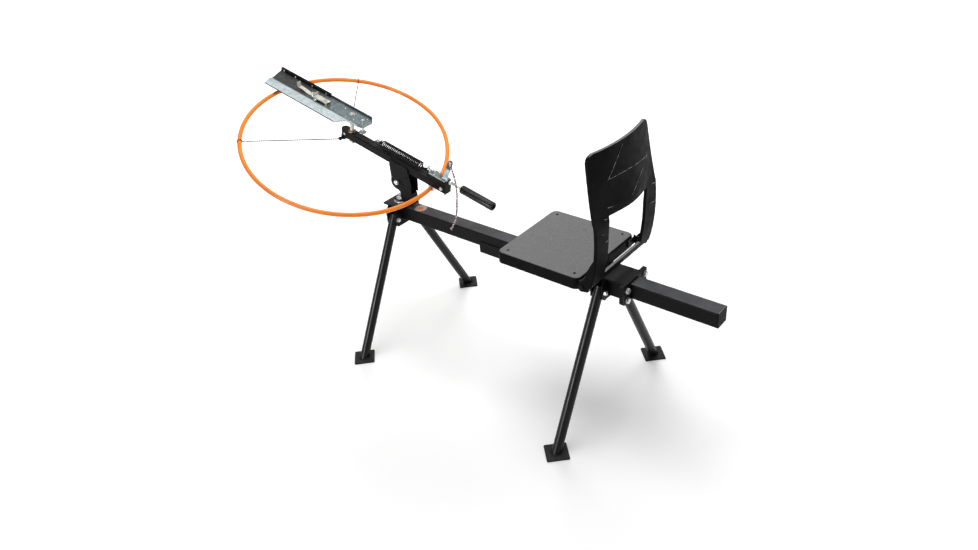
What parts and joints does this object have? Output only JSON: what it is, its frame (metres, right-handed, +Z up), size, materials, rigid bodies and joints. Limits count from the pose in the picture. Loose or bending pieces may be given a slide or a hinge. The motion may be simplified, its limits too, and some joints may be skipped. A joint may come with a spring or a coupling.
{
  "type": "seated manual clay target thrower",
  "caption": "Seated spring-driven target thrower: a square beam on splayed legs carries a seat with a fold-down back and a tilting, swivelling throwing head inside a guard ring.",
  "frame": {"origin": "centre of the bounding box's footprint, on the ground under the feet", "axes": "+Z up, -Y the throwing direction along the beam, +X the seated person's left"},
  "size_m": [0.771, 1.8086, 0.952],
  "materials": {
    "black_paint": "satin black powder coat",
    "black_rubber": "ribbed",
    "bronze": "oiled bronze",
    "cord_yarn": "braided nylon",
    "galvanised": "galvanised, slightly spangled",
    "orange_plastic": "satin orange",
    "seat_plastic": "fine leather-grain moulding",
    "zinc": "bright zinc plate"
  },
  "bodies": {
    "stand": {"main_beam": "black_paint", "beam_end_cap": "black_rubber", "beam_badge": "orange_plastic", "front_leg_bracket": "black_paint", "rear_leg_bracket": "black_paint", "rear_clamp_plate": "black_paint", "clamp_bolt_upper": "zinc", "clamp_bolt_lower": "zinc", "clamp_bolt_far": "zinc", "leg_front_left": "black_paint", "foot_front_left": "black_paint", "leg_bolt_front_left": "zinc", "leg_front_right": "black_paint", "foot_front_right": "black_paint", "leg_bolt_front_right": "zinc", "leg_rear_left": "black_paint", "foot_rear_left": "black_paint", "leg_bolt_rear_left": "zinc", "leg_rear_right": "black_paint", "foot_rear_right": "black_paint", "leg_bolt_rear_right": "zinc", "seat_rail": "black_paint", "seat_mount_plate": "black_paint", "seat_cross_front": "black_paint", "seat_cross_rear": "black_paint", "seat_pan": "seat_plastic", "hinge_bracket_left": "black_paint", "hinge_pin_left": "black_paint", "hinge_bracket_right": "black_paint", "hinge_pin_right": "black_paint", "swivel_washer": "zinc", "swivel_bolt": "zinc"},
    "swivel": {"swivel_base": "black_paint", "tilt_bolt": "zinc"},
    "head": {"head_bar": "black_paint", "spindle_bushing": "bronze", "head_cheek_left": "black_paint", "head_cheek_right": "black_paint", "head_end_plate": "black_paint", "handle_rod": "zinc", "handle_grip": "black_rubber", "main_spring": "black_paint", "spring_anchor": "black_paint", "release_block": "black_paint", "release_plate": "galvanised", "guard_ring": "orange_plastic", "ring_clip": "zinc", "stay_anchor": "black_paint", "ring_stay_left": "zinc", "ring_stay_right": "zinc", "pull_cord": "cord_yarn", "cord_knot": "cord_yarn"},
    "arm": {"throwing_arm": "galvanised", "arm_rail": "black_rubber", "spindle": "zinc", "crank_pin": "zinc", "target_clip": "zinc"},
    "spring_link": {"spring_link": "black_paint"},
    "release_lever": {"release_lever": "galvanised"},
    "seat_back": {"seat_back": "seat_plastic"}
  },
  "joints": [
    {"name": "head_swivel", "type": "hinge", "parent": "stand", "child": "swivel", "pos_m": [-0.04325, -0.322, 0.525], "axis": [0, 0, 1], "range_deg": [-45, 45]},
    {"name": "head_tilt", "type": "hinge", "parent": "swivel", "child": "head", "pos_m": [-0.04325, -0.312, 0.596], "axis": [1, 0, 0], "range_deg": [-10, 20]},
    {"name": "arm_spin", "type": "hinge", "parent": "head", "child": "arm", "pos_m": [-0.04325, -0.51016, 0.79569], "axis": [0, 0.225, 0.9744], "range_deg": [0, 175], "stiffness_Nm_per_rad": 5, "springref_deg": -17.19},
    {"name": "link_slide", "type": "slide", "parent": "head", "child": "spring_link", "axis": [0, -0.9744, 0.225], "range_m": [0, 0.107], "deforming": ["main_spring"]},
    {"name": "release_lever_pivot", "type": "hinge", "parent": "head", "child": "release_lever", "pos_m": [-0.03525, -0.09041, 0.65784], "axis": [0, 0.9744, -0.225], "range_deg": [0, 15], "stiffness_Nm_per_rad": 1.5, "springref_deg": -17.19, "deforming": ["pull_cord", "cord_knot"]},
    {"name": "seat_back_fold", "type": "hinge", "parent": "stand", "child": "seat_back", "pos_m": [-0.03925, 0.552, 0.548], "axis": [1, 0, 0], "range_deg": [0, 86]}
  ],
  "couplings": [
    {"joint": "link_slide", "follows": "arm_spin", "m_per_rad": 0.0347}
  ]
}
